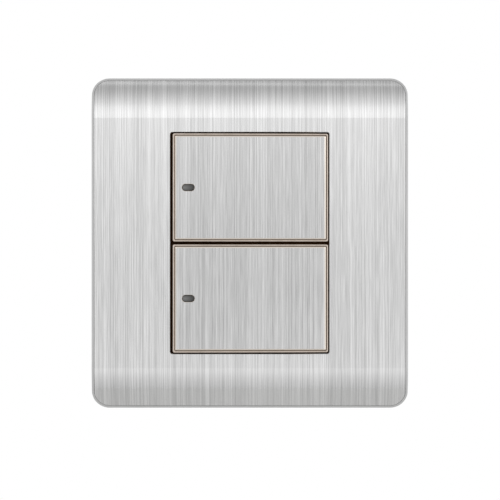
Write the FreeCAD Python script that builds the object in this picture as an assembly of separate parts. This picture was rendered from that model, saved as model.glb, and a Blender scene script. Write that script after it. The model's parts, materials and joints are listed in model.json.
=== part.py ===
"""Two-gang, two-way rocker wall switch with a brushed-metal face, for a square wall box.

Frame: X to the right seen from the front, +Y into the wall, +Z up, in millimetres.
The origin is on the wall plane, midway between the two box screws.
Both rockers are drawn with their right end pressed, which is where they rest.
Moving groups are drawn level first, then turned to that rest position.
"""
import FreeCAD
import Part
import math
import os

V = FreeCAD.Vector
X, Y, Z = V(1, 0, 0), V(0, 1, 0), V(0, 0, 1)

# ---- driving dimensions ------------------------------------------------------------------
# Surround: the moulded carrier and the brushed skin bonded into its front
PLATE_W, PLATE_H, PLATE_T = 86.0, 90.0, 9.0
PLATE_CORNER_R = 4.7
ROLL_R = 16.0            # the top and bottom roll back towards the wall on this radius
ROLL_LENGTH = 11.0       # how much of the height each roll takes
CARRIER_WALL = 1.8
LIP = 0.6                # carrier edge that shows round the skin
LIP_ROUND = 0.3
SKIN_T = 0.5
SKIN_SEAM = 0.04
SKIN_ROUND = 0.18
GLUE = 0.04
OPENING_W, OPENING_H, OPENING_R = 43.2, 60.2, 0.6
COLLAR_WALL, COLLAR_END = 1.3, -5.0
RIB_T, RIB_END = 1.0, -4.8
ROOT = 0.2               # how far a rib, post or hook runs into the wall it stands on

# Rockers
ROCKER_W, ROCKER_H = 42.25, 29.35
ROCKER_GAP = 0.76        # between the two rockers
ROCKER_CORNER_R, SEAT_CORNER_R = 0.5, 0.3
FACE_Y = -9.9            # rim of a level rocker, proud of the surround
SKIRT_END = -5.9
ROCKER_WALL = 1.2
BEAD, BEAD_ROUND = 0.42, 0.17   # plated bead round the rocker
SHADOW_GAP = 0.26        # between the bead and the insert
INSERT_T, INSERT_CORNER_R = 0.8, 0.25
INSERT_SET_DOWN = 0.05   # insert face below the bead
CUT_EDGE, CUT_DROP = 0.3, 0.12  # diamond-cut slope round the insert
INNER_Y = -7.9           # inside of the rocker's front wall
LENS_W, LENS_H, LENS_X = 3.4, 1.86, -16.9
LENS_SET_DOWN = 0.2
LENS_ROOM = 0.06         # how much wider the hole is than the lens

# Mechanism
PIVOT_Y = -6.0           # rocker axis
TILT = 3.0               # degrees each side of level
DRIVE_R = 10.8           # rocker axis to the plunger's ball centre
LEVER_R = 3.6            # ball centre to the seesaw's axis
RATIO = DRIVE_R / LEVER_R
BALL_Y = PIVOT_Y + DRIVE_R
FULCRUM_Y = BALL_Y + LEVER_R
SEESAW_TILT = TILT * RATIO
PIN_R, PIN_PLAY = 1.0, 0.05
PLUNGER_R, PLUNGER_BORE_R, PLUNGER_PLAY = 1.5, 1.1, 0.05
PLUNGER_FLOOR = 3.2      # end of the bore in the plunger
GUIDE_R, GUIDE_END = 2.9, -4.6
BALL_PLAY = 0.06
STRIP_T = 0.8            # brass strip of the seesaw and the fixed contacts
CONTACT_X = 9.6
GROOVE_R = 0.75          # groove in the seesaw's foot
FIXED_STRIP_Y = 11.3     # front of the fixed contact strips
SPRING_R, WIRE_R, SPRING_TURNS = 0.85, 0.15, 8

# Module housing
MODULE_W, MODULE_H = 40.4, 29.2
MODULE_WALL, REAR_WALL = 1.5, 1.6
COVER_FRONT, COVER_BACK = -4.6, -3.2
COVER_W, COVER_H = 44.0, ROCKER_H + ROCKER_GAP   # the two covers meet between the rockers
STOP_Y = -6.95           # tips of the posts that stop the rocker at each end of its tilt
MODULE_REAR = 18.6
BOARD_FRONT, BOARD_BACK = -2.33, -1.33
TERMINAL_SIZE = 6.0
TERMINAL_FRONT = 8.6
TERMINAL_REAR = MODULE_REAR - REAR_WALL
TERMINAL_INSET = 5.0     # terminal centre to the housing's outer side
WIRE_BORE_R, WIRE_BORE_DEPTH = 1.7, 7.4
FUNNEL = 0.6             # slope round each wire window
SCREW_Y, SCREW_R, SCREW_HEAD_R, SCREW_HEAD_T = 13.6, 1.75, 2.8, 1.6

# Mounting yoke
YOKE_T = 1.2
YOKE_FRONT = COVER_BACK
YOKE_STRIP_W, YOKE_STRIP_H = 48.0, 77.0
YOKE_EAR_W, YOKE_EAR_H = 76.0, 52.0
BOX_SCREW_SPACING, SLOT_W, SLOT_LENGTH = 60.3, 4.5, 8.0
HOOK_W, HOOK_T, HOOK_X, HOOK_Z = 6.0, 1.2, 13.0, 34.6
CLEAR = 20.0             # cutting blocks start this far in front of the wall

MODULE_Z = (ROCKER_H + ROCKER_GAP) / 2
GANGS = ("upper", "lower")
TERMINALS = ("left", "right", "common")


# ---- small shape helpers -----------------------------------------------------------------
def block(x0, x1, y0, y1, z0, z1):
    """Box between two values on each axis, given in either order."""
    (x0, x1), (y0, y1), (z0, z1) = sorted((x0, x1)), sorted((y0, y1)), sorted((z0, z1))
    return Part.makeBox(x1 - x0, y1 - y0, z1 - z0, V(x0, y0, z0))


def rod(radius, start, end):
    """Cylinder of a radius between two points."""
    line = end - start
    return Part.makeCylinder(radius, line.Length, start, line)


def runs_along(edge, direction):
    """Whether an edge is straight and parallel to a direction."""
    return isinstance(edge.Curve, Part.Line) and abs(edge.tangentAt(edge.FirstParameter) * direction) > 0.99


def edges_along(shape, direction):
    """Straight edges of a shape that run along a direction."""
    return [edge for edge in shape.Edges if runs_along(edge, direction)]


def rounded_block(width, height, radius, y0, y1, cx=0.0, cz=0.0):
    """Rectangle across X and Z with round corners, drawn out along Y."""
    body = block(cx - width / 2, cx + width / 2, y0, y1, cz - height / 2, cz + height / 2)
    return body.makeFillet(radius, edges_along(body, Y))


def pill(width, height, y0, y1, cx=0.0, cz=0.0):
    """A slot outline with half-round ends, drawn out along Y."""
    r = height / 2
    reach = width / 2 - r
    middle = block(cx - reach, cx + reach, y0, y1, cz - r, cz + r)
    ends = [rod(r, V(cx + s * reach, y0, cz), V(cx + s * reach, y1, cz)) for s in (-1, 1)]
    return middle.fuse(ends).removeSplitter()


def lies_at_y(item, y):
    """Whether an edge or a face lies wholly at one depth."""
    box = item.BoundBox
    return abs(box.YMin - y) < 1e-4 and abs(box.YMax - y) < 1e-4


def edges_at_y(shape, y):
    """Edges that lie wholly at one depth."""
    return [edge for edge in shape.Edges if lies_at_y(edge, y)]


def rounded_outline(width, height, radius, y, cx=0.0, cz=0.0):
    """Wire round a rounded rectangle at one depth."""
    slab = rounded_block(width, height, radius, y, y + 1, cx, cz)
    return [face for face in slab.Faces if lies_at_y(face, y)][0].OuterWire


def bent_strip(points, thickness, z0, z1):
    """Sheet metal seen edge-on: straight runs between the points, with round bends."""
    pieces = []
    for (xa, ya), (xb, yb) in zip(points, points[1:]):
        length = math.hypot(xb - xa, yb - ya)
        run = Part.makeBox(length, thickness, z1 - z0, V(0, -thickness / 2, z0))
        run.rotate(V(), Z, math.degrees(math.atan2(yb - ya, xb - xa)))
        run.translate(V(xa, ya, 0))
        pieces.append(run)
    for x, y in points[1:-1]:
        pieces.append(rod(thickness / 2, V(x, y, z0), V(x, y, z1)))
    return pieces[0].fuse(pieces[1:]).removeSplitter()


# ---- surround ----------------------------------------------------------------------------
def face_profile(inset, half_height):
    """Side outline of the surround's front, moved inwards by inset, drawn out along X."""
    front = -PLATE_T + inset
    flat = PLATE_H / 2 - ROLL_LENGTH
    radius = ROLL_R - inset
    centre_y = -PLATE_T + ROLL_R

    def roll_point(angle, side):
        return V(0, centre_y - radius * math.cos(angle), side * (flat + radius * math.sin(angle)))

    end = math.asin((half_height - flat) / radius)
    top = [roll_point(a, 1) for a in (0.0, end / 2, end)]
    bottom = [roll_point(a, -1) for a in (end, end / 2, 0.0)]
    back = 1.0
    edges = [
        Part.Arc(*top).toShape(),
        Part.LineSegment(top[2], V(0, back, half_height)).toShape(),
        Part.LineSegment(V(0, back, half_height), V(0, back, -half_height)).toShape(),
        Part.LineSegment(V(0, back, -half_height), bottom[0]).toShape(),
        Part.Arc(*bottom).toShape(),
        Part.LineSegment(bottom[2], top[0]).toShape(),
    ]
    outline = Part.Face(Part.Wire(edges))
    outline.translate(V(-PLATE_W, 0, 0))
    solid = outline.extrude(V(2 * PLATE_W, 0, 0))
    assert abs(solid.BoundBox.YMin - front) < 1e-3
    return solid


def face_block(inset, width, height, corner):
    """Solid under the surround's front surface moved in by inset, cut to a rounded rectangle."""
    return face_profile(inset, height / 2).common(rounded_block(width, height, corner, -CLEAR, 0))


def rolled_edges(shape):
    """The front edge loop of a face block, where the front surface meets the side walls."""
    half_width, half_height = shape.BoundBox.XMax, shape.BoundBox.ZMax
    found = []
    for edge in shape.Edges:
        box = edge.BoundBox
        on_wall_side = box.YMin > -0.01
        seam_inside = abs(edge.CenterOfMass.z) < half_height - 0.1 and box.XLength > half_width
        upright = runs_along(edge, Y)
        if not (on_wall_side or seam_inside or upright):
            found.append(edge)
    return found


def make_carrier():
    """Moulded carrier: outer shell, seat for the skin, collar round the opening, ribs and hooks."""
    shell = face_block(0.0, PLATE_W, PLATE_H, PLATE_CORNER_R)
    shell = shell.makeFillet(LIP_ROUND, rolled_edges(shell))
    seat = rounded_block(PLATE_W - 2 * LIP, PLATE_H - 2 * LIP, PLATE_CORNER_R - LIP, -CLEAR, 0)
    seat = seat.cut(face_profile(SKIN_T + GLUE, PLATE_H / 2))
    inner_w, inner_h = PLATE_W - 2 * CARRIER_WALL, PLATE_H - 2 * CARRIER_WALL
    inner_r = PLATE_CORNER_R - CARRIER_WALL
    cavity = face_block(CARRIER_WALL, inner_w, inner_h, inner_r)
    cavity = cavity.fuse(rounded_block(inner_w, inner_h, inner_r, -0.5, 1))
    carrier = shell.cut(seat).cut(cavity)

    root = -PLATE_T + CARRIER_WALL - ROOT
    collar = rounded_block(OPENING_W + 2 * COLLAR_WALL, OPENING_H + 2 * COLLAR_WALL,
                           OPENING_R + COLLAR_WALL, root, COLLAR_END)
    ribs = []
    for side in (-1, 1):
        x_in, x_out = OPENING_W / 2 + 0.5, PLATE_W / 2 - 1.0
        for z in (-24.0, -12.0, 12.0, 24.0):
            ribs.append(block(side * x_in, side * x_out, root, RIB_END, z - RIB_T / 2, z + RIB_T / 2))
        z_in, z_out = OPENING_H / 2 + 0.5, PLATE_H / 2 - 4.5
        for x in (-20.0, -5.0, 5.0, 20.0):
            ribs.append(block(x - RIB_T / 2, x + RIB_T / 2, root, RIB_END, side * z_in, side * z_out))
    inside = face_profile(CARRIER_WALL - ROOT, PLATE_H / 2)
    ribs = [rib.common(inside) for rib in ribs]
    hooks = [make_hook(sx * HOOK_X, sz, root) for sx in (-1, 1) for sz in (-1, 1)]
    carrier = carrier.fuse([collar] + ribs + hooks)
    carrier = carrier.cut(rounded_block(OPENING_W, OPENING_H, OPENING_R, -CLEAR, 1))
    pry_slot = block(-4, 4, -1.1, 1, -PLATE_H / 2 - 1, -PLATE_H / 2 + CARRIER_WALL + ROOT)
    return carrier.cut(pry_slot).removeSplitter()


def make_hook(x, side, root):
    """Cantilever hook that passes a slot in the yoke and catches its back face."""
    z0, z1 = HOOK_Z, HOOK_Z + HOOK_T
    catch = YOKE_FRONT + YOKE_T + 0.05
    tip, barb = -0.5, 0.8
    outline = [(root, z0), (tip, z0), (tip, z1 - 0.2), (catch, z1 + barb), (catch, z1), (root, z1)]
    points = [V(x - HOOK_W / 2, y, side * z) for y, z in outline]
    return Part.Face(Part.makePolygon(points + points[:1])).extrude(V(HOOK_W, 0, 0))


def make_skin():
    """Brushed sheet bonded into the carrier's seat, with a softened edge and a square-cut opening."""
    inset = LIP + SKIN_SEAM
    full = face_block(0.0, PLATE_W - 2 * inset, PLATE_H - 2 * inset, PLATE_CORNER_R - inset)
    full = full.makeFillet(SKIN_ROUND, rolled_edges(full))
    skin = full.cut(face_profile(SKIN_T, PLATE_H / 2))
    skin = skin.cut(rounded_block(OPENING_W, OPENING_H, OPENING_R, -CLEAR, 1))
    mouth_x, mouth_z = OPENING_W / 2 + 0.1, OPENING_H / 2 + 0.1
    mouth = [edge for edge in edges_at_y(skin, -PLATE_T)
             if abs(edge.CenterOfMass.x) < mouth_x and abs(edge.CenterOfMass.z) < mouth_z]
    return skin.makeChamfer(0.12, mouth)


# ---- mounting yoke -----------------------------------------------------------------------
def make_yoke():
    """Pressed steel yoke: raised strip that holds the modules, ears on the wall with the screw slots."""
    half_w, half_h = YOKE_STRIP_W / 2, YOKE_STRIP_H / 2
    strip = rounded_block(YOKE_STRIP_W, YOKE_STRIP_H, 2.5, YOKE_FRONT, YOKE_FRONT + YOKE_T)
    flanges = []
    for side in (-1, 1):
        z, x = side * half_h, side * half_w
        flanges.append(block(4 - half_w, half_w - 4, YOKE_FRONT, 0, z, z - side * YOKE_T))
        flanges.append(block(x, x - side * YOKE_T, YOKE_FRONT, 0, -YOKE_EAR_H / 2, YOKE_EAR_H / 2))
    ears = rounded_block(YOKE_EAR_W, YOKE_EAR_H, 4.0, -YOKE_T, 0)
    ears = ears.cut(block(YOKE_T - half_w, half_w - YOKE_T, -2, 1, -YOKE_EAR_H, YOKE_EAR_H))
    yoke = strip.fuse(flanges + [ears])
    window_w, window_h = MODULE_W + 0.4, 2 * MODULE_Z + MODULE_H + 0.4
    yoke = yoke.cut(rounded_block(window_w, window_h, 1.0, -CLEAR, 1))
    hook_room = HOOK_W / 2 + 0.4
    for side in (-1, 1):
        yoke = yoke.cut(pill(SLOT_LENGTH, SLOT_W, -CLEAR, 1, side * BOX_SCREW_SPACING / 2, 0))
        z0, z1 = side * (HOOK_Z - 0.3), side * (HOOK_Z + HOOK_T + 0.25)
        for x in (-HOOK_X, HOOK_X):
            yoke = yoke.cut(block(x - hook_room, x + hook_room, -CLEAR, 1, z0, z1))
        # pressed stiffening bead above and below the modules
        z = side * 33.6
        yoke = yoke.fuse(block(-6, 6, YOKE_FRONT - 0.5, YOKE_FRONT, z - 0.9, z + 0.9))
        # spare fixing holes and stiffening ribs on the ears
        for z in (-19.0, 19.0):
            yoke = yoke.cut(rod(1.6, V(side * 31.5, -3, z), V(side * 31.5, 1, z)))
        for z in (-11.5, 11.5):
            yoke = yoke.fuse(rounded_block(8.0, 2.0, 0.9, -YOKE_T - 0.5, -YOKE_T + 0.1, side * 31.0, z))
    return yoke.removeSplitter()


# ---- rocker group, drawn level about its pivot -------------------------------------------
def lens_hole(front, back):
    """Pill-shaped hole for the indicator lens, a little larger than the lens."""
    return pill(LENS_W + LENS_ROOM, LENS_H + LENS_ROOM, front, back, LENS_X)


def make_bezel():
    """Plated rocker cap: bead, seat for the insert, skirt, ribs and clips for the cradle."""
    cap = rounded_block(ROCKER_W, ROCKER_H, ROCKER_CORNER_R, FACE_Y, SKIRT_END)
    seat_floor = FACE_Y + INSERT_SET_DOWN + INSERT_T
    seat_w, seat_h = ROCKER_W - 2 * BEAD, ROCKER_H - 2 * BEAD
    cap = cap.cut(rounded_block(seat_w, seat_h, SEAT_CORNER_R, FACE_Y - 1, seat_floor))
    cap = cap.makeFillet(BEAD_ROUND, edges_at_y(cap, FACE_Y))
    hollow_w, hollow_h = ROCKER_W - 2 * ROCKER_WALL, ROCKER_H - 2 * ROCKER_WALL
    cap = cap.cut(rounded_block(hollow_w, hollow_h, 0.4, INNER_Y, 0))
    root, rib_end, clip_end, half_t = INNER_Y - 0.1, -6.9, -6.1, 0.4
    edge_z = hollow_h / 2 + ROOT
    added = []
    for side in (-1, 1):
        far = side * (hollow_w / 2 + ROOT)
        for z in (-5.2, 5.2):
            added.append(block(side * 11.0, far, root, rib_end, z - half_t, z + half_t))
        x = side * 11.4
        added.append(block(x - half_t, x + half_t, root, rib_end, -edge_z, edge_z))
        # a post and its inward lip make one snap clip for the cradle's edge
        post, lip = side * 8.6, side * 8.1
        added.append(block(post - 0.5, post + 0.5, root, clip_end, -4, 4))
        added.append(block(lip - 0.5, lip + 0.5, -6.55, clip_end, -4, 4))
    return cap.fuse(added).cut(lens_hole(FACE_Y - 1, INNER_Y + 0.3)).removeSplitter()


def make_insert():
    """Brushed insert seated in the rocker cap, with a slope cut round its face."""
    inset = BEAD + SHADOW_GAP
    width, height = ROCKER_W - 2 * inset, ROCKER_H - 2 * inset
    front = FACE_Y + INSERT_SET_DOWN
    shoulder = front + CUT_DROP
    insert = rounded_block(width, height, INSERT_CORNER_R, shoulder, front + INSERT_T)
    foot = rounded_outline(width, height, INSERT_CORNER_R, shoulder)
    top = rounded_outline(width - 2 * CUT_EDGE, height - 2 * CUT_EDGE, INSERT_CORNER_R / 2, front)
    insert = insert.fuse(Part.makeLoft([foot, top], True, True)).removeSplitter()
    insert = insert.cut(lens_hole(FACE_Y - 1, 0))
    rim = [edge for edge in edges_at_y(insert, front)
           if abs(edge.CenterOfMass.x - LENS_X) < LENS_W / 2 + 0.1 and abs(edge.CenterOfMass.z) < LENS_H]
    return insert.makeChamfer(0.08, rim)


def make_lens():
    """Smoked indicator lens: a plug through the face with a flange behind."""
    front = FACE_Y + LENS_SET_DOWN
    plug = pill(LENS_W, LENS_H, front, INNER_Y + 0.05, LENS_X)
    plug = plug.makeFillet(0.25, edges_at_y(plug, front))
    flange = pill(LENS_W + 1.2, LENS_H + 1.2, INNER_Y + 0.02, INNER_Y + 0.4, LENS_X)
    return plug.fuse(flange).removeSplitter()


def make_cradle():
    """Cradle that the cap clips on to: plate, pivot pins and the plunger's guide tube."""
    half_z, half_x = 11.4, 7.95
    plate_back, web_end, arm_end = INNER_Y + 1.3, -5.3, -4.95
    web_front = plate_back - 0.1
    cradle = block(-half_x, half_x, INNER_Y, plate_back, -half_z, half_z)
    added = [
        rod(GUIDE_R, V(0, INNER_Y + 0.5, 0), V(0, 2.6, 0)),
        block(-6.5, 6.5, web_front, web_end, -0.5, 0.5),
        block(-0.5, 0.5, web_front, web_end, -9, 9),
    ]
    for side in (-1, 1):
        tip = side * half_z
        added.append(block(-1.9, 1.9, INNER_Y + 0.5, arm_end, tip - side * 2.0, tip))
        added.append(rod(PIN_R, V(0, PIVOT_Y, tip - side * 0.5), V(0, PIVOT_Y, side * 13.1)))
    bore = rod(PLUNGER_R + PLUNGER_PLAY, V(0, GUIDE_END, 0), V(0, 3, 0))
    return cradle.fuse(added).cut(bore).removeSplitter()


def make_plunger():
    """Hollow plunger with a ball end that sits in the seesaw's valley."""
    body = rod(PLUNGER_R, V(0, -1.6, 0), V(0, BALL_Y, 0))
    ball = Part.makeSphere(PLUNGER_R, V(0, BALL_Y, 0))
    return body.fuse(ball).cut(rod(PLUNGER_BORE_R, V(0, -2, 0), V(0, PLUNGER_FLOOR, 0))).removeSplitter()


def make_spring():
    """Compression spring between the guide's blind end and the plunger's floor."""
    start, end = GUIDE_END + 0.05 + WIRE_R, PLUNGER_FLOOR - 0.05 - WIRE_R
    helix = Part.makeHelix((end - start) / SPRING_TURNS, end - start, SPRING_R)
    section = Part.Wire(Part.makeCircle(WIRE_R, V(SPRING_R, 0, 0), Y))
    coil = Part.Wire(helix.Edges).makePipeShell([section], True, True)
    coil.rotate(V(), X, -90)
    coil.translate(V(0, start, 0))
    return coil


# ---- contact group, drawn level about the fulcrum ----------------------------------------
def make_seesaw():
    """Changeover contact: a W-shaped brass strip with a foot that rides on the fulcrum edge."""
    half_width = 2.2
    valley_y = BALL_Y + (PLUNGER_R + BALL_PLAY + STRIP_T / 2) * math.sqrt(2)
    arm_y = FULCRUM_Y - STRIP_T / 2
    shoulder_x = 2.75
    half = [(shoulder_x, valley_y - shoulder_x), (4.7, arm_y), (11.2, arm_y)]
    points = [(-x, y) for x, y in reversed(half)] + [(0.0, valley_y)] + half
    strip = bent_strip(points, STRIP_T, -half_width, half_width)
    strip = strip.fuse(block(-1.4, 1.4, valley_y, FULCRUM_Y + 0.1, -half_width, half_width))
    strip = strip.cut(rod(GROOVE_R, V(0, FULCRUM_Y, -3), V(0, FULCRUM_Y, 3)))
    return strip.cut(block(-GROOVE_R, GROOVE_R, FULCRUM_Y, FULCRUM_Y + 1, -3, 3)).removeSplitter()


def make_seesaw_contacts():
    """Silver rivets under both arms of the seesaw."""
    rivets = []
    for x in (-CONTACT_X, CONTACT_X):
        tip = FULCRUM_Y + 0.55
        rivet = rod(1.3, V(x, FULCRUM_Y, 0), V(x, tip, 0))
        rivets.append(rivet.makeFillet(0.25, edges_at_y(rivet, tip)))
    return Part.makeCompound(rivets)


# ---- fixed pieces of a module ------------------------------------------------------------
def terminal_frame(where):
    """Centre and outward direction of a terminal block."""
    side_x, side_z = MODULE_W / 2 - TERMINAL_INSET, MODULE_H / 2 - TERMINAL_INSET
    return {"left": (V(-side_x, 0, 0), V(-1, 0, 0)),
            "right": (V(side_x, 0, 0), V(1, 0, 0)),
            "common": (V(0, 0, side_z), V(0, 0, 1))}[where]


def at_depth(point, y):
    return V(point.x, y, point.z)


def terminal_block(where):
    """Brass pillar block with a wire bore from the rear and a tapped hole from its outer side."""
    centre, out = terminal_frame(where)
    h = TERMINAL_SIZE / 2
    body = block(centre.x - h, centre.x + h, TERMINAL_FRONT, TERMINAL_REAR, centre.z - h, centre.z + h)
    body = body.makeChamfer(0.3, edges_at_y(body, TERMINAL_REAR))
    bore_end = TERMINAL_REAR - WIRE_BORE_DEPTH
    body = body.cut(rod(WIRE_BORE_R, at_depth(centre, bore_end), at_depth(centre, TERMINAL_REAR + 1)))
    axis = at_depth(centre, SCREW_Y)
    return body.cut(rod(SCREW_R + 0.02, axis + out * 1.0, axis + out * (h + 1)))


def make_side_terminal(where):
    """Terminal block with the strip that carries a fixed contact."""
    centre, out = terminal_frame(where)
    inner = centre.x - out.x * (TERMINAL_SIZE / 2 - 0.3)
    strip = block(inner, out.x * 7.5, FIXED_STRIP_Y, FIXED_STRIP_Y + STRIP_T, -2.0, 2.0)
    return terminal_block(where).fuse(strip).removeSplitter()


def make_common_terminal():
    """Terminal block with the upright plate whose round edge is the seesaw's fulcrum."""
    centre, _ = terminal_frame("common")
    joined = centre.z - TERMINAL_SIZE / 2 + 0.3
    half_t, half_width = 0.7, 2.4
    plate = block(-half_t, half_t, FULCRUM_Y, 12.6, -half_width, joined)
    edge = rod(half_t, V(0, FULCRUM_Y, -half_width), V(0, FULCRUM_Y, half_width))
    # beside the seesaw the plate stands lower, so that the strip's end clears it
    plate = plate.cut(block(-1, 1, FULCRUM_Y - 1, FULCRUM_Y + 1, half_width, joined))
    return terminal_block("common").fuse([plate, edge]).removeSplitter()


def make_fixed_contacts():
    """Silver rivets on the two fixed strips."""
    front = FIXED_STRIP_Y - 0.58
    rivets = [rod(1.5, V(x, front, 0), V(x, FIXED_STRIP_Y, 0)) for x in (-CONTACT_X, CONTACT_X)]
    return Part.makeCompound(rivets)


def make_terminal_screw(where):
    """Pan-head clamp screw with a slot, backed off until its end is flush with the wire bore."""
    centre, out = terminal_frame(where)
    axis = at_depth(centre, SCREW_Y)
    seat = TERMINAL_SIZE / 2 + 0.05
    top = seat + SCREW_HEAD_T
    shank = rod(SCREW_R, axis + out * (WIRE_BORE_R + 0.1), axis + out * (seat + 0.2))
    head = rod(SCREW_HEAD_R, axis + out * seat, axis + out * top)
    rim = [edge for edge in head.Edges
           if isinstance(edge.Curve, Part.Circle) and abs((edge.CenterOfMass - axis) * out - top) < 0.05]
    head = head.makeFillet(0.5, rim)
    slot_w, slot_depth, reach = 0.8, 0.8, 3.5
    slot = Part.makeBox(2 * reach, slot_w, 2 * reach, V(-reach, -slot_w / 2, -reach))
    slot.translate(axis + out * (top - slot_depth + reach))
    return shank.fuse(head).cut(slot).removeSplitter()


def pocket_walls(where):
    """Two walls that hold a terminal block between them."""
    centre, out = terminal_frame(where)
    room, wall = TERMINAL_SIZE / 2 + 0.1, 1.0
    walls = []
    for side in (-1, 1):
        across = V(abs(out.z), 0, abs(out.x)) * side
        a = centre + across * room - out * TERMINAL_SIZE / 2
        b = centre + across * (room + wall) + out * (TERMINAL_INSET - MODULE_WALL + 0.3)
        walls.append(block(a.x, b.x, TERMINAL_FRONT, TERMINAL_REAR + ROOT, a.z, b.z))
    return walls


def make_latch():
    """Wedge on the housing's side that snaps behind the yoke."""
    hx = MODULE_W / 2
    catch = YOKE_FRONT + YOKE_T + 0.05
    outline = [(hx - 0.5, catch), (hx + 0.8, catch), (hx + 0.8, catch + 0.45), (hx, 1.2), (hx - 0.5, 1.2)]
    points = [V(x, y, -4) for x, y in outline]
    return Part.Face(Part.makePolygon(points + points[:1])).extrude(V(0, 0, 8))


def wire_window(where):
    """Square way in for a wire, with a funnel mouth."""
    centre, _ = terminal_frame(where)
    size, radius, rear = TERMINAL_SIZE - 0.8, 0.6, MODULE_REAR + 0.01
    wide = size + 2 * FUNNEL
    throat = rounded_outline(size, size, radius, MODULE_REAR - FUNNEL, centre.x, centre.z)
    mouth = rounded_outline(wide, wide, radius + FUNNEL, rear, centre.x, centre.z)
    straight = rounded_block(size, size, radius, TERMINAL_REAR - 0.5, rear, centre.x, centre.z)
    return [straight, Part.makeLoft([throat, mouth], True, True)]


def make_base():
    """Rear half of a module: box with terminal pockets, wire windows, screw notches and yoke latches."""
    base = rounded_block(MODULE_W, MODULE_H, 1.0, COVER_BACK, MODULE_REAR)
    base = base.makeChamfer(0.5, edges_at_y(base, MODULE_REAR))
    inner_w, inner_h = MODULE_W - 2 * MODULE_WALL, MODULE_H - 2 * MODULE_WALL
    base = base.cut(rounded_block(inner_w, inner_h, 0.6, COVER_BACK - 1, TERMINAL_REAR))
    latch = make_latch()
    walls = [wall for where in TERMINALS for wall in pocket_walls(where)]
    base = base.fuse(walls + [latch, latch.mirror(V(), X)])
    # blank label recess, strip-length groove and two ejector marks on the rear
    rear = MODULE_REAR + 1
    base = base.cut(rounded_block(15.0, 7.0, 0.5, MODULE_REAR - 0.3, rear, 0, -1.0))
    base = base.cut(pill(12.0, 1.4, MODULE_REAR - 0.4, rear, 0, -10.6))
    for x in (-13.0, 13.0):
        base = base.cut(rod(1.5, V(x, MODULE_REAR - 0.2, -9.5), V(x, rear, -9.5)))
    for where in TERMINALS:
        centre, out = terminal_frame(where)
        axis = at_depth(centre, SCREW_Y)
        near, far = TERMINAL_SIZE / 2 + 0.02, TERMINAL_INSET + 1
        notch = rod(SCREW_HEAD_R + 0.4, axis + out * near, axis + out * far)
        base = base.cut(wire_window(where) + [notch])
    return base.removeSplitter()


def make_cover():
    """Front half of a module: flange, bearing ears, stops, and windows for the tube and the indicator."""
    cover = rounded_block(COVER_W, COVER_H, 0.3, COVER_FRONT, COVER_BACK)
    root = COVER_FRONT + 0.1
    spigot = MODULE_H / 2 - MODULE_WALL - 0.05
    added = []
    for side in (-1, 1):
        ear = block(-2.4, 2.4, -7.5, root, side * 11.7, side * 13.2)
        shoulders = [edge for edge in edges_along(ear, Z) if edge.CenterOfMass.y < -7]
        added.append(ear.makeFillet(0.9, shoulders))
        added.append(block(-15, 15, COVER_BACK - 0.1, -1.7, side * 12.0, side * spigot))
        for x in (-16.0, 16.0):
            added.append(rod(1.0, V(x, root, side * 8.5), V(x, STOP_Y, side * 8.5)))
    cover = cover.fuse(added)
    for z in (-12.5, 12.5):
        cover = cover.cut(rod(PIN_R + PIN_PLAY, V(0, PIVOT_Y, z - 1.5), V(0, PIVOT_Y, z + 1.5)))
    cover = cover.cut(rounded_block(8.8, 7.2, 0.8, -6, 0))
    return cover.cut(rounded_block(3.9, 3.9, 0.4, -6, 0, LENS_X)).removeSplitter()


def make_led():
    """Round indicator lamp that shines up at the lens."""
    centre = V(LENS_X, 0, 0)
    dome_y, seat_y = -4.5, -2.9
    flange = rod(1.75, at_depth(centre, seat_y), at_depth(centre, BOARD_FRONT - 0.02))
    body = rod(1.5, at_depth(centre, dome_y), at_depth(centre, seat_y))
    return flange.fuse([body, Part.makeSphere(1.5, at_depth(centre, dome_y))]).removeSplitter()


def make_board():
    """Small circuit board under the cover that carries the lamp."""
    return rounded_block(8.6, 10.0, 0.6, BOARD_FRONT, BOARD_BACK, -14.2, 0)


def make_resistor():
    """Axial resistor behind the board, on two bent leads."""
    x, y, half, lead_r = -12.2, -0.2, 2.1, 0.25
    body = rod(0.85, V(x, y, -half), V(x, y, half))
    body = body.makeFillet(0.3, [edge for edge in body.Edges if isinstance(edge.Curve, Part.Circle)])
    leads = []
    for side in (-1, 1):
        z = side * (half + 1.0)
        knee = V(x, y, z)
        leads.append(rod(lead_r, V(x, y, side * (half - 0.2)), knee))
        leads.append(rod(lead_r, V(x, BOARD_BACK + 0.02, z), knee))
        leads.append(Part.makeSphere(lead_r, knee))
    return body.fuse(leads).removeSplitter()


def make_leads():
    """Two stiff wires from the board to the left and common terminals."""
    start, end, lead_r = BOARD_BACK + 0.02, TERMINAL_FRONT - 0.02, 0.35
    short = rod(lead_r, V(-15.2, start, 2.0), V(-15.2, end, 2.0))
    route = [V(-10.8, start, 4.3), V(-10.8, 3.0, 4.3), V(-1.5, 5.0, 8.6), V(-1.5, end, 8.6)]
    runs = [rod(lead_r, a, b) for a, b in zip(route, route[1:])]
    knees = [Part.makeSphere(lead_r, point) for point in route[1:-1]]
    return Part.makeCompound([short, runs[0].fuse(runs[1:] + knees).removeSplitter()])


# ---- assembly ----------------------------------------------------------------------------
def turned(shape, y, degrees):
    """A level group turned about its own axis, which runs along Z at depth y."""
    moved = shape.copy()
    moved.rotate(V(0, y, 0), Z, degrees)
    return moved


def placed(shape, gang, mirrored=True):
    """A module piece in its place. The lower module is the upper one mirrored in height."""
    moved = shape.copy()
    if gang == "upper":
        moved.translate(V(0, 0, MODULE_Z))
    elif mirrored:
        moved = moved.mirror(V(), Z)
        moved.translate(V(0, 0, -MODULE_Z))
    else:
        moved.translate(V(0, 0, -MODULE_Z))
    return moved


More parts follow.
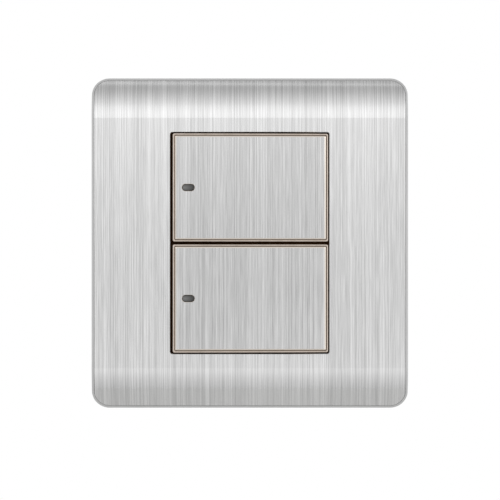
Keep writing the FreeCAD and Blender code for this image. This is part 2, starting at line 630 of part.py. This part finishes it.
def build():
    """Every piece by name, in its place."""
    shapes = {
        "surround_carrier": make_carrier(),
        "surround_skin": make_skin(),
        "mounting_yoke": make_yoke(),
    }
    rocker_group = {
        "rocker_bezel": make_bezel(),
        "rocker_insert": make_insert(),
        "indicator_lens": make_lens(),
        "rocker_cradle": make_cradle(),
        "plunger": make_plunger(),
    }
    seesaw_group = {
        "contact_seesaw": make_seesaw(),
        "seesaw_contacts": make_seesaw_contacts(),
    }
    fixed = {
        "left_terminal": make_side_terminal("left"),
        "right_terminal": make_side_terminal("right"),
        "common_terminal": make_common_terminal(),
        "fixed_contacts": make_fixed_contacts(),
        "terminal_screws": Part.makeCompound([make_terminal_screw(where) for where in TERMINALS]),
        "module_base": make_base(),
        "module_cover": make_cover(),
        "indicator_led": make_led(),
        "indicator_board": make_board(),
        "board_resistor": make_resistor(),
        "indicator_leads": make_leads(),
    }
    spring = turned(make_spring(), PIVOT_Y, TILT)
    for gang in GANGS:
        for name, shape in rocker_group.items():
            shapes[f"{name}_{gang}"] = placed(turned(shape, PIVOT_Y, TILT), gang)
        for name, shape in seesaw_group.items():
            shapes[f"{name}_{gang}"] = placed(turned(shape, FULCRUM_Y, -SEESAW_TILT), gang)
        for name, shape in fixed.items():
            shapes[f"{name}_{gang}"] = placed(shape, gang)
        # a coil keeps its hand, so the lower spring is the upper one moved down
        shapes[f"plunger_spring_{gang}"] = placed(spring, gang, mirrored=False)
    return shapes


def main():
    os.makedirs("parts", exist_ok=True)
    for name, shape in build().items():
        if not shape.isValid():
            print("not valid:", name)
        print(f"{name:26s} solids {len(shape.Solids)}  volume {shape.Volume:9.2f}")
        shape.exportStep(f"parts/{name}.step")


main()
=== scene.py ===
"""Looks for the two-gang rocker wall switch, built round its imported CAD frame.

Metres, +Z up. The face looks along -Y.
"""
import bpy
import json
import math
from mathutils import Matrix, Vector


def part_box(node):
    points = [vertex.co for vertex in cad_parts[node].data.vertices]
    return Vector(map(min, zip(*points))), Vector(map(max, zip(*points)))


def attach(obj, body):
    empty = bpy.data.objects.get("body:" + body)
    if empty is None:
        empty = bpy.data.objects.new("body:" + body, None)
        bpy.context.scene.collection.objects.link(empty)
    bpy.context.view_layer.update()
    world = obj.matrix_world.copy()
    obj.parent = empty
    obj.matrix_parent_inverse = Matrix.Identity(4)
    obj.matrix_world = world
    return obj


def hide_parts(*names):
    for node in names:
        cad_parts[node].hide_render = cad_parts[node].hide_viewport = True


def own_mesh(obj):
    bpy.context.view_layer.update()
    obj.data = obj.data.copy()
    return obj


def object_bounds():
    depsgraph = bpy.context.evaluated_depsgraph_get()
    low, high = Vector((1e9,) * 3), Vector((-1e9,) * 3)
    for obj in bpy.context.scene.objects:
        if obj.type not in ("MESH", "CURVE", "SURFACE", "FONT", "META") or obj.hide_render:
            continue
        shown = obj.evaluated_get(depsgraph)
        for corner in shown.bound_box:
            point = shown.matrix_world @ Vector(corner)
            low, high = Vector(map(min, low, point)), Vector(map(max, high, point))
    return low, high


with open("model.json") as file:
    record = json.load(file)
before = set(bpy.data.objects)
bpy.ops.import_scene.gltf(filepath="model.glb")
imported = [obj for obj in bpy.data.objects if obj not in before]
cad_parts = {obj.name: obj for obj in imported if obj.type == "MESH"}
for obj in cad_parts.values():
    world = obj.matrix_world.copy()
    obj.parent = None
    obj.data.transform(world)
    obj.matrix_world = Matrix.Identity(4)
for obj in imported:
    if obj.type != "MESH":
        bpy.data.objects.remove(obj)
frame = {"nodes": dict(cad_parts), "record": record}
cad_low, cad_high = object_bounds()

MM = 0.001
REST_TILT = math.radians(3.0)     # how far each rocker leans to one side at rest
ROCKER_FRONT = (math.sin(REST_TILT), -math.cos(REST_TILT), 0.0)   # the way a resting rocker faces


# ---- small helpers -----------------------------------------------------------------------
def colour(hex_value):
    """An sRGB hex value as a linear colour."""
    channels = [int(hex_value[i:i + 2], 16) / 255 for i in (1, 3, 5)]
    linear = [c / 12.92 if c <= 0.04045 else ((c + 0.055) / 1.055) ** 2.4 for c in channels]
    return (*linear, 1.0)


def grey(level):
    """A neutral light of one linear level, which may be over one."""
    return (level, level, level, 1.0)


def per_mm(*size_mm):
    """The scale that gives a pattern its size in millimetres along X, Y and Z."""
    return [1 / (size * MM) for size in size_mm]


def add(tree, kind, inputs=None, stops=None, **settings):
    """Adds one node with its settings and links.

    An input is a plain value, or another node's output socket to link. Stops are a colour ramp's
    (position, colour) pairs.
    """
    made = tree.nodes.new(kind)
    for name, value in settings.items():
        setattr(made, name, value)
    for name, value in (inputs or {}).items():
        if isinstance(value, bpy.types.NodeSocket):
            tree.links.new(value, made.inputs[name])
        else:
            made.inputs[name].default_value = value
    if stops:
        elements = made.color_ramp.elements
        elements[0].position, elements[0].color = stops[0]
        elements[1].position, elements[1].color = stops[-1]
        for position, value in stops[1:-1]:
            elements.new(position).color = value
    return made


def new_material(name):
    """An empty material, its node tree, and its object-space coordinates."""
    material = bpy.data.materials.new(name)
    material.use_nodes = True
    tree = material.node_tree
    tree.nodes.clear()
    place = add(tree, "ShaderNodeTexCoord").outputs["Object"]
    return material, tree, place


# ---- materials ---------------------------------------------------------------------------
def brushed_metal(name, light, dark, roughness, grain_mm, anisotropy, cut_edge_highlight=None):
    """Sheet metal brushed up and down: fine upright scratches that draw each highlight out sideways.

    The colour given for the polished slope round the sheet, which the brushing stops short of, is paler and
    warmer than the sheet: a painted highlight.
    """
    material, tree, place = new_material(name)
    # real scratches are too fine to show, so they are drawn grain_mm wide, and alike through the sheet
    deep_mm = 90.0
    # long scratches from the belt, shorter ones where the grit skipped, and broad bands where the belt
    # pressed harder
    patterns = []
    for width_mm, length_mm in ((grain_mm, 90.0), (grain_mm, 9.0), (2.4, 140.0)):
        spread = add(tree, "ShaderNodeMapping", {
            "Vector": place, "Scale": per_mm(width_mm, deep_mm, length_mm)})
        pattern = add(tree, "ShaderNodeTexNoise", {
            "Vector": spread.outputs[0], "Scale": 1.0, "Detail": 1.0, "Roughness": 0.5})
        patterns.append(pattern.outputs["Fac"])
    long_marks, short_marks, bands = patterns
    short_share, band_share = 0.36, 0.18
    marks = add(tree, "ShaderNodeMix", {0: short_share, 2: long_marks, 3: short_marks}).outputs[0]
    shade = add(tree, "ShaderNodeMix", {0: band_share, 2: marks, 3: bands})
    tone = add(tree, "ShaderNodeValToRGB", {"Fac": shade.outputs[0]},
               stops=[(0.40, colour(dark)), (0.60, colour(light))]).outputs[0]
    rough = add(tree, "ShaderNodeMapRange", {
        "Value": marks, "From Min": 0.4, "From Max": 0.6,
        "To Min": roughness - 0.03, "To Max": roughness + 0.03}).outputs[0]
    if cut_edge_highlight:
        # the slope is known by its normal, which leaves the sheet's own by more than ten degrees
        slope_limit, slope_roughness = math.cos(math.radians(10)), 0.16
        own_normal = add(tree, "ShaderNodeTexCoord").outputs["Normal"]
        facing = add(tree, "ShaderNodeVectorMath", {0: own_normal, 1: ROCKER_FRONT},
                     operation="DOT_PRODUCT")
        on_slope = add(tree, "ShaderNodeMath", {0: facing.outputs["Value"], 1: slope_limit},
                       operation="LESS_THAN").outputs[0]
        # the slope's pale warm colour is a painted highlight
        tone = add(tree, "ShaderNodeMix", {0: on_slope, 6: tone, 7: colour(cut_edge_highlight)},
                   data_type="RGBA").outputs[2]
        rough = add(tree, "ShaderNodeMix", {0: on_slope, 2: rough, 3: slope_roughness}).outputs[0]
    bump = add(tree, "ShaderNodeBump", {"Height": marks, "Strength": 0.2, "Distance": 0.004 * MM})
    normal = add(tree, "ShaderNodeNewGeometry").outputs["Normal"]
    across = add(tree, "ShaderNodeVectorMath", {0: (0.0, 0.0, 1.0), 1: normal}, operation="CROSS_PRODUCT")
    surface = add(tree, "ShaderNodeBsdfPrincipled", {
        "Base Color": tone, "Metallic": 1.0, "Roughness": rough, "Anisotropic": anisotropy,
        "Normal": bump.outputs[0], "Tangent": across.outputs[0]})
    add(tree, "ShaderNodeOutputMaterial", {"Surface": surface.outputs[0]})
    return material


def plated_plastic(name, light, dark, groove_shade, roughness):
    """Moulded ABS with a vacuum-plated front: a soft metal gloss on the bead.

    Down the sides and in the groove behind the bead it darkens to a painted shade, deepest furthest below the
    bead's rim.
    """
    material, tree, place = new_material(name)
    wave_place = add(tree, "ShaderNodeMapping", {"Vector": place, "Scale": per_mm(2.5, 2.5, 2.5)})
    wave = add(tree, "ShaderNodeTexNoise", {"Vector": wave_place.outputs[0], "Scale": 1.0, "Detail": 2.0})
    grit_place = add(tree, "ShaderNodeMapping", {"Vector": place, "Scale": per_mm(0.12, 0.12, 0.12)})
    grit = add(tree, "ShaderNodeTexNoise", {"Vector": grit_place.outputs[0], "Scale": 1.0, "Detail": 2.0})
    # height is measured the way the rocker faces, and its raised end is the front of its box
    height = add(tree, "ShaderNodeVectorMath", {0: place, 1: ROCKER_FRONT}, operation="DOT_PRODUCT")
    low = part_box("rocker_bezel_upper")[0]
    rim = Vector((low.x, low.y, 0.0)).dot(Vector(ROCKER_FRONT))
    # painted shade: the colour darkens from 0.12 mm to 0.45 mm below the bead's rim
    shade_full_below, shade_none_above = rim - 0.45 * MM, rim - 0.12 * MM
    shade_share = add(tree, "ShaderNodeMapRange", {
        "Value": height.outputs["Value"], "From Min": shade_full_below, "From Max": shade_none_above,
        "To Min": 1.0, "To Max": 0.0})
    plated = add(tree, "ShaderNodeValToRGB", {"Fac": wave.outputs["Fac"]},
                 stops=[(0.35, colour(dark)), (0.65, colour(light))])
    # the painted shade colour replaces the plated tone below the rim
    tone = add(tree, "ShaderNodeMix", {0: shade_share.outputs[0], 6: plated.outputs[0], 7: colour(groove_shade)},
               data_type="RGBA")
    rough = add(tree, "ShaderNodeMapRange", {
        "Value": grit.outputs["Fac"], "From Min": 0.3, "From Max": 0.7,
        "To Min": roughness - 0.03, "To Max": roughness + 0.05})
    bump = add(tree, "ShaderNodeBump", {
        "Height": wave.outputs["Fac"], "Strength": 0.15, "Distance": 0.01 * MM})
    surface = add(tree, "ShaderNodeBsdfPrincipled", {
        "Base Color": tone.outputs[2], "Metallic": 1.0, "Roughness": rough.outputs[0],
        "Normal": bump.outputs[0]})
    add(tree, "ShaderNodeOutputMaterial", {"Surface": surface.outputs[0]})
    return material


def moulded_plastic(name, light, dark, roughness, grain_mm, metallic=0.0, coat=0.0, sheen_level=0.5):
    """Injection-moulded plastic: the tool's spark-eroded grain breaks up the gloss, and the tone drifts."""
    material, tree, place = new_material(name)
    grain_place = add(tree, "ShaderNodeMapping", {
        "Vector": place, "Scale": per_mm(grain_mm, grain_mm, grain_mm)})
    grain = add(tree, "ShaderNodeTexNoise", {
        "Vector": grain_place.outputs[0], "Scale": 1.0, "Detail": 4.0, "Roughness": 0.6})
    drift_place = add(tree, "ShaderNodeMapping", {"Vector": place, "Scale": per_mm(14.0, 14.0, 14.0)})
    drift = add(tree, "ShaderNodeTexNoise", {"Vector": drift_place.outputs[0], "Scale": 1.0, "Detail": 2.0})
    tone = add(tree, "ShaderNodeValToRGB", {"Fac": drift.outputs["Fac"]},
               stops=[(0.3, colour(dark)), (0.7, colour(light))])
    rough = add(tree, "ShaderNodeMapRange", {
        "Value": grain.outputs["Fac"], "From Min": 0.3, "From Max": 0.7,
        "To Min": roughness - 0.06, "To Max": roughness + 0.06})
    bump = add(tree, "ShaderNodeBump", {
        "Height": grain.outputs["Fac"], "Strength": 0.35, "Distance": 0.02 * MM})
    surface = add(tree, "ShaderNodeBsdfPrincipled", {
        "Base Color": tone.outputs[0], "Metallic": metallic, "Roughness": rough.outputs[0],
        "Normal": bump.outputs[0], "IOR": 1.53, "Specular IOR Level": sheen_level,
        "Coat Weight": coat, "Coat Roughness": 0.2})
    add(tree, "ShaderNodeOutputMaterial", {"Surface": surface.outputs[0]})
    return material


def smoked_lens():
    """Smoked polycarbonate plug: dark and polished, with a painted glow near one end that fades outwards to
    painted shade.
    """
    material, tree, place = new_material("smoked_polycarbonate")
    low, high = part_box("indicator_lens_upper")
    centre = (low + high) / 2
    # the painted glow's middle, how far it fades out to painted shade, and how much shorter it is in height
    # than in width
    glow_x, reach, flatness = centre.x - 0.9 * MM, 2.4 * MM, 2.2
    # the lower lens mirrors the upper one, so height is measured without its sign
    split = add(tree, "ShaderNodeSeparateXYZ", {"Vector": place})
    height = add(tree, "ShaderNodeMath", {0: split.outputs["Z"]}, operation="ABSOLUTE")
    dx = add(tree, "ShaderNodeMath", {0: split.outputs["X"], 1: glow_x}, operation="SUBTRACT")
    dz = add(tree, "ShaderNodeMath", {0: height.outputs[0], 1: centre.z}, operation="SUBTRACT")
    tall = add(tree, "ShaderNodeMath", {0: dz.outputs[0], 1: flatness}, operation="MULTIPLY")
    both = add(tree, "ShaderNodeCombineXYZ", {"X": dx.outputs[0], "Z": tall.outputs[0]})
    away = add(tree, "ShaderNodeVectorMath", {0: both.outputs[0]}, operation="LENGTH")
    glow_fade = add(tree, "ShaderNodeMapRange", {
        "Value": away.outputs["Value"], "From Min": 0.0, "From Max": reach})
    # pale at the painted glow's middle, darkening to painted shade at its edge
    tone = add(tree, "ShaderNodeValToRGB", {"Fac": glow_fade.outputs[0]}, stops=[
        (0.0, colour("#7a7a79")), (0.4, colour("#636362")),
        (0.75, colour("#4b4b4a")), (1.0, colour("#2e2d2c"))])
    frost_place = add(tree, "ShaderNodeMapping", {"Vector": place, "Scale": per_mm(0.2, 0.2, 0.2)})
    frost = add(tree, "ShaderNodeTexNoise", {"Vector": frost_place.outputs[0], "Scale": 1.0, "Detail": 2.0})
    bump = add(tree, "ShaderNodeBump", {
        "Height": frost.outputs["Fac"], "Strength": 0.2, "Distance": 0.01 * MM})
    surface = add(tree, "ShaderNodeBsdfPrincipled", {
        "Base Color": tone.outputs[0], "Roughness": 0.22, "IOR": 1.585, "Transmission Weight": 0.15,
        "Normal": bump.outputs[0]})
    add(tree, "ShaderNodeOutputMaterial", {"Surface": surface.outputs[0]})
    return material


def galvanised_steel():
    """Zinc-coated pressed steel: soft crystal patches a few millimetres across with their own shine."""
    material, tree, place = new_material("zinc_plated_steel")
    patch_place = add(tree, "ShaderNodeMapping", {"Vector": place, "Scale": per_mm(2.6, 2.6, 2.6)})
    patches = add(tree, "ShaderNodeTexVoronoi", {
        "Vector": patch_place.outputs[0], "Scale": 1.0, "Randomness": 1.0})
    shade = add(tree, "ShaderNodeSeparateColor", {"Color": patches.outputs["Color"]}).outputs[0]
    tone = add(tree, "ShaderNodeValToRGB", {"Fac": shade}, stops=[
        (0.0, colour("#a3a8ad")), (0.5, colour("#b4b9bd")), (1.0, colour("#c6cacd"))])
    rough = add(tree, "ShaderNodeMapRange", {"Value": shade, "To Min": 0.26, "To Max": 0.46})
    rolled_place = add(tree, "ShaderNodeMapping", {"Vector": place, "Scale": per_mm(0.15, 0.15, 9.0)})
    rolled = add(tree, "ShaderNodeTexNoise", {"Vector": rolled_place.outputs[0], "Scale": 1.0, "Detail": 2.0})
    bump = add(tree, "ShaderNodeBump", {
        "Height": rolled.outputs["Fac"], "Strength": 0.25, "Distance": 0.01 * MM})
    surface = add(tree, "ShaderNodeBsdfPrincipled", {
        "Base Color": tone.outputs[0], "Metallic": 1.0, "Roughness": rough.outputs[0],
        "Normal": bump.outputs[0]})
    add(tree, "ShaderNodeOutputMaterial", {"Surface": surface.outputs[0]})
    return material


def machined_metal(name, light, dark, roughness, mark_mm):
    """Cut, drawn or plated metal: fine marks, and tarnish that gathers in patches.

    The marks run along the axis where mark_mm is longest, and are an even mottle where it is the same.
    """
    material, tree, place = new_material(name)
    mark_place = add(tree, "ShaderNodeMapping", {"Vector": place, "Scale": per_mm(*mark_mm)})
    marks = add(tree, "ShaderNodeTexNoise", {"Vector": mark_place.outputs[0], "Scale": 1.0, "Detail": 3.0})
    patch_place = add(tree, "ShaderNodeMapping", {"Vector": place, "Scale": per_mm(1.8, 1.8, 1.8)})
    tarnish = add(tree, "ShaderNodeTexNoise", {"Vector": patch_place.outputs[0], "Scale": 1.0, "Detail": 3.0})
    tone = add(tree, "ShaderNodeValToRGB", {"Fac": tarnish.outputs["Fac"]},
               stops=[(0.35, colour(dark)), (0.62, colour(light))])
    rough = add(tree, "ShaderNodeMapRange", {
        "Value": marks.outputs["Fac"], "From Min": 0.3, "From Max": 0.7,
        "To Min": roughness - 0.06, "To Max": roughness + 0.08})
    bump = add(tree, "ShaderNodeBump", {
        "Height": marks.outputs["Fac"], "Strength": 0.3, "Distance": 0.008 * MM})
    surface = add(tree, "ShaderNodeBsdfPrincipled", {
        "Base Color": tone.outputs[0], "Metallic": 1.0, "Roughness": rough.outputs[0],
        "Normal": bump.outputs[0]})
    add(tree, "ShaderNodeOutputMaterial", {"Surface": surface.outputs[0]})
    return material


def clear_epoxy():
    """Cast epoxy lamp: clear and glossy with a slightly milky body."""
    material, tree, place = new_material("cast_epoxy")
    cloud_place = add(tree, "ShaderNodeMapping", {"Vector": place, "Scale": per_mm(1.0, 1.0, 1.0)})
    cloud = add(tree, "ShaderNodeTexNoise", {"Vector": cloud_place.outputs[0], "Scale": 1.0, "Detail": 2.0})
    tone = add(tree, "ShaderNodeValToRGB", {"Fac": cloud.outputs["Fac"]},
               stops=[(0.3, colour("#dfe6ea")), (0.7, colour("#f4f7f8"))])
    surface = add(tree, "ShaderNodeBsdfPrincipled", {
        "Base Color": tone.outputs[0], "Roughness": 0.08, "IOR": 1.54, "Transmission Weight": 0.6})
    add(tree, "ShaderNodeOutputMaterial", {"Surface": surface.outputs[0]})
    return material


def board_laminate():
    """Glass-epoxy board under green solder resist, with the weave just showing through."""
    material, tree, place = new_material("solder_masked_laminate")
    weave_place = add(tree, "ShaderNodeMapping", {"Vector": place, "Scale": per_mm(1.0, 1.0, 1.0)})
    weave = add(tree, "ShaderNodeTexBrick", {
        "Vector": weave_place.outputs[0], "Scale": 1.0, "Mortar Size": 0.08,
        "Color1": colour("#1f6b3c"), "Color2": colour("#257545"), "Mortar": colour("#1b5f35")})
    surface = add(tree, "ShaderNodeBsdfPrincipled", {
        "Base Color": weave.outputs["Color"], "Roughness": 0.35, "IOR": 1.5})
    add(tree, "ShaderNodeOutputMaterial", {"Surface": surface.outputs[0]})
    return material


def lacquered_resistor():
    """Dipped resistor: beige lacquer with colour-code rings round its axis, and bare leads at its ends."""
    material, tree, place = new_material("lacquered_ceramic")
    low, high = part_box("board_resistor_upper")
    split = add(tree, "ShaderNodeSeparateXYZ", {"Vector": place})
    # the lower resistor mirrors the upper one, so height is measured without its sign
    height = add(tree, "ShaderNodeMath", {0: split.outputs["Z"]}, operation="ABSOLUTE")
    along = add(tree, "ShaderNodeMapRange", {
        "Value": height.outputs[0], "From Min": low.z, "From Max": high.z})
    body, lead, ring_width = colour("#c9a878"), colour("#b9bbbc"), 0.05
    rings = [(0.34, "#5a3a1e"), (0.44, "#1c1a18"), (0.54, "#c07a1e"), (0.66, "#b08d3a")]
    stops = [(0.0, lead), (0.18, body)]
    for position, ring in rings:
        stops += [(position, colour(ring)), (position + ring_width, body)]
    stops.append((0.82, lead))
    tone = add(tree, "ShaderNodeValToRGB", {"Fac": along.outputs[0]}, stops=stops)
    tone.color_ramp.interpolation = "CONSTANT"
    surface = add(tree, "ShaderNodeBsdfPrincipled", {
        "Base Color": tone.outputs[0], "Roughness": 0.28, "IOR": 1.5})
    add(tree, "ShaderNodeOutputMaterial", {"Surface": surface.outputs[0]})
    return material


# the surround is a bright neutral grey; the keys are a shade darker, with a polished slope round each sheet
# whose pale warm colour is a painted highlight
stainless = brushed_metal("brushed_stainless_steel", "#eaeaea", "#c8c8c8", 0.22, 0.17, 0.8)
aluminium = brushed_metal("brushed_aluminium", "#dfdfdf", "#bbbbbb", 0.22, 0.17, 0.8, cut_edge_highlight="#efe6dc")
# warm yellow, with fine cut marks
brass = machined_metal("machined_brass", "#d9b36a", "#b98f4b", 0.26, (2.0, 0.08, 2.0))
finishes = {
    # an even silver grey under a thin lacquer
    "moulded_carrier": moulded_plastic(
        "silver_painted_abs", "#c6c6c6", "#c0c0c0", 0.34, 0.10, metallic=0.4, coat=0.2),
    "brushed_skin": stainless,
    "yoke_steel": galvanised_steel(),
    # the third colour is the painted shade in the groove and down the bezel's sides
    "plated_trim": plated_plastic("champagne_plated_abs", "#d2c5ba", "#c6b9ad", "#796c60", 0.20),
    "brushed_insert": aluminium,
    "smoked_lens": smoked_lens(),
    # creamy white, and smoother than the housing
    "bearing_plastic": moulded_plastic("natural_acetal", "#e9e7de", "#e1dfd5", 0.38, 0.25),
    # mid grey wire with fine marks
    "spring_wire": machined_metal("drawn_spring_steel", "#b4b6b8", "#94979a", 0.24, (0.05, 1.5, 0.05)),
    # coppery strip with fine rolling marks
    "contact_brass": machined_metal("rolled_phosphor_bronze", "#d39a62", "#b27c48", 0.28, (1.2, 1.2, 0.06)),
    # pale and slightly warm
    "contact_silver": machined_metal("silver_alloy", "#e4e2dc", "#cbc7bd", 0.22, (0.3, 0.3, 0.3)),
    "terminal_brass": brass,
    # cool and light, with a fine mottle
    "screw_steel": machined_metal("zinc_plated_screw_steel", "#cdd0d2", "#b2b6ba", 0.24, (0.10, 0.10, 0.10)),
    # soft light grey
    "base_plastic": moulded_plastic("moulded_polycarbonate", "#dcdcda", "#d4d4d1", 0.46, 0.18),
    # a matt brown, nearly black down in the gaps
    "cover_plastic": moulded_plastic(
        "dark_brown_polyamide", "#65401f", "#5a371b", 0.60, 0.18, sheen_level=0.15),
    "lamp_epoxy": clear_epoxy(),
    "board_laminate": board_laminate(),
    "resistor_body": lacquered_resistor(),
    # dull and slightly warm
    "lead_wire": machined_metal("tinned_copper", "#c9c5bd", "#aaa59b", 0.3, (0.4, 0.4, 0.4)),
}
slot_of = {entry["node"]: entry["material_slot"] for entry in frame["record"]["subparts"]}
for name, node in frame["nodes"].items():
    node.data.materials.clear()
    node.data.materials.append(finishes[slot_of[name]])


# ---- plunger springs ---------------------------------------------------------------------
def shortening_spring(gang):
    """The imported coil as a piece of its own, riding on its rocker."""
    packed = frame["nodes"][f"plunger_spring_{gang}"]
    spring = bpy.data.objects.new(f"plunger_coil_{gang}", packed.data.copy())
    bpy.context.scene.collection.objects.link(spring)
    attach(spring, f"rocker_{gang}")
    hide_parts(f"plunger_spring_{gang}")
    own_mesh(spring)


for gang in ("upper", "lower"):
    shortening_spring(gang)

# ---- floor, light and camera -------------------------------------------------------------
FLOOR_DROP, FLOOR_SIZE = 0.45, 1.0
bpy.ops.mesh.primitive_plane_add(size=FLOOR_SIZE, location=(0.0, 0.0, cad_low.z - FLOOR_DROP))
floor = bpy.context.object
floor.name = "studio_floor"
# matt white board, with a faint drift of tone so that it doesn't look flat
floor_material, floor_tree, floor_place = new_material("matt_white_board")
drift_place = add(floor_tree, "ShaderNodeMapping", {"Vector": floor_place, "Scale": per_mm(60.0, 60.0, 60.0)})
drift = add(floor_tree, "ShaderNodeTexNoise", {"Vector": drift_place.outputs[0], "Scale": 1.0})
board_tone = add(floor_tree, "ShaderNodeValToRGB", {"Fac": drift.outputs["Fac"]},
                 stops=[(0.3, colour("#d9d9d8")), (0.7, colour("#dfdfde"))])
board = add(floor_tree, "ShaderNodeBsdfPrincipled", {"Base Color": board_tone.outputs[0], "Roughness": 0.8})
add(floor_tree, "ShaderNodeOutputMaterial", {"Surface": board.outputs[0]})
floor.data.materials.append(floor_material)

# The studio: a bright band a little above eye level in front, dimmer overhead and below, white behind.
world = bpy.data.worlds.new("studio")
bpy.context.scene.world = world
world.use_nodes = True
sky = world.node_tree
sky.nodes.clear()
direction = add(sky, "ShaderNodeTexCoord").outputs["Generated"]
axes = add(sky, "ShaderNodeSeparateXYZ", {"Vector": direction})

# brightness at each elevation in degrees: below, round eye level, the bright band, and up to overhead
front_levels = [
    (-70, 0.54), (-47, 0.66), (-38, 0.71), (-22, 0.83), (-14, 0.91), (-6, 1.0), (-3, 0.99),
    (-1.2, 0.665), (0, 0.785), (1.5, 0.89),
    (2.7, 1.15), (4.5, 1.25), (8.5, 1.29), (12.5, 1.28), (24, 1.17),
    (32, 0.97), (41, 0.84), (49, 0.70), (62, 0.57), (80, 0.54)]
front_stops = [((math.sin(math.radians(degrees)) + 1) / 2, grey(level)) for degrees, level in front_levels]
height = add(sky, "ShaderNodeMapRange", {"Value": axes.outputs["Z"], "From Min": -1.0, "From Max": 1.0})
front = add(sky, "ShaderNodeValToRGB", {"Fac": height.outputs[0]}, stops=front_stops)

# from far left to far right: dim, a little brighter left of the middle than right of it, brightest at three
# quarters of the way from the middle to the far right, and dim again at the end
side_levels = [(0.0, 0.65), (0.38, 1.06), (0.62, 0.93), (0.78, 1.1), (0.87, 1.45), (0.94, 1.25), (1.0, 0.5)]
side_stops = [(position, grey(level)) for position, level in side_levels]
sideways = add(sky, "ShaderNodeMapRange", {"Value": axes.outputs["X"], "From Min": -1.0, "From Max": 1.0})
side_light = add(sky, "ShaderNodeValToRGB", {"Fac": sideways.outputs[0]}, stops=side_stops)
front = add(sky, "ShaderNodeMix", {0: 1.0, 6: front.outputs[0], 7: side_light.outputs[0]},
            data_type="RGBA", blend_type="MULTIPLY")
behind = add(sky, "ShaderNodeMapRange", {"Value": axes.outputs["Y"], "From Min": -0.1, "From Max": 0.35})
light = add(sky, "ShaderNodeMix", {0: behind.outputs[0], 6: front.outputs[2], 7: grey(1.0)}, data_type="RGBA")
background = add(sky, "ShaderNodeBackground", {"Color": light.outputs[2], "Strength": 1.0})
add(sky, "ShaderNodeOutputWorld", {"Surface": background.outputs[0]})

# a strip softbox overhead draws a thin line along the top of the surround
STRIP_LENGTH, STRIP_DEPTH, STRIP_WATTS = 1.2, 0.10, 0.27
strip_data = bpy.data.lights.new("overhead_strip", "AREA")
strip_data.shape = "RECTANGLE"
strip_data.size, strip_data.size_y = STRIP_LENGTH, STRIP_DEPTH
strip_data.energy = STRIP_WATTS
strip = bpy.data.objects.new("overhead_strip", strip_data)
bpy.context.scene.collection.objects.link(strip)
strip.location = (-0.25, -0.37, 1.95)
strip.rotation_euler = (-strip.location).to_track_quat("-Z", "Y").to_euler()

LENS_MM, SENSOR_MM = 200.0, 36.0
FIELD_WIDTH = 0.13585             # width seen at the surround's face
CAMERA_SHIFT = Vector((0.00004, 0.0, -0.0019))
distance = FIELD_WIDTH * LENS_MM / SENSOR_MM
face_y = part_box("surround_skin")[0].y
camera_data = bpy.data.cameras.new("camera")
camera_data.lens, camera_data.sensor_width = LENS_MM, SENSOR_MM
camera_data.clip_start, camera_data.clip_end = 0.05, 20.0
camera = bpy.data.objects.new("camera", camera_data)
bpy.context.scene.collection.objects.link(camera)
camera.location = CAMERA_SHIFT + Vector((0.0, face_y - distance, 0.0))
camera.rotation_euler = (math.radians(90), 0.0, 0.0)
bpy.context.scene.camera = camera
bpy.context.scene.view_settings.view_transform = "Standard"
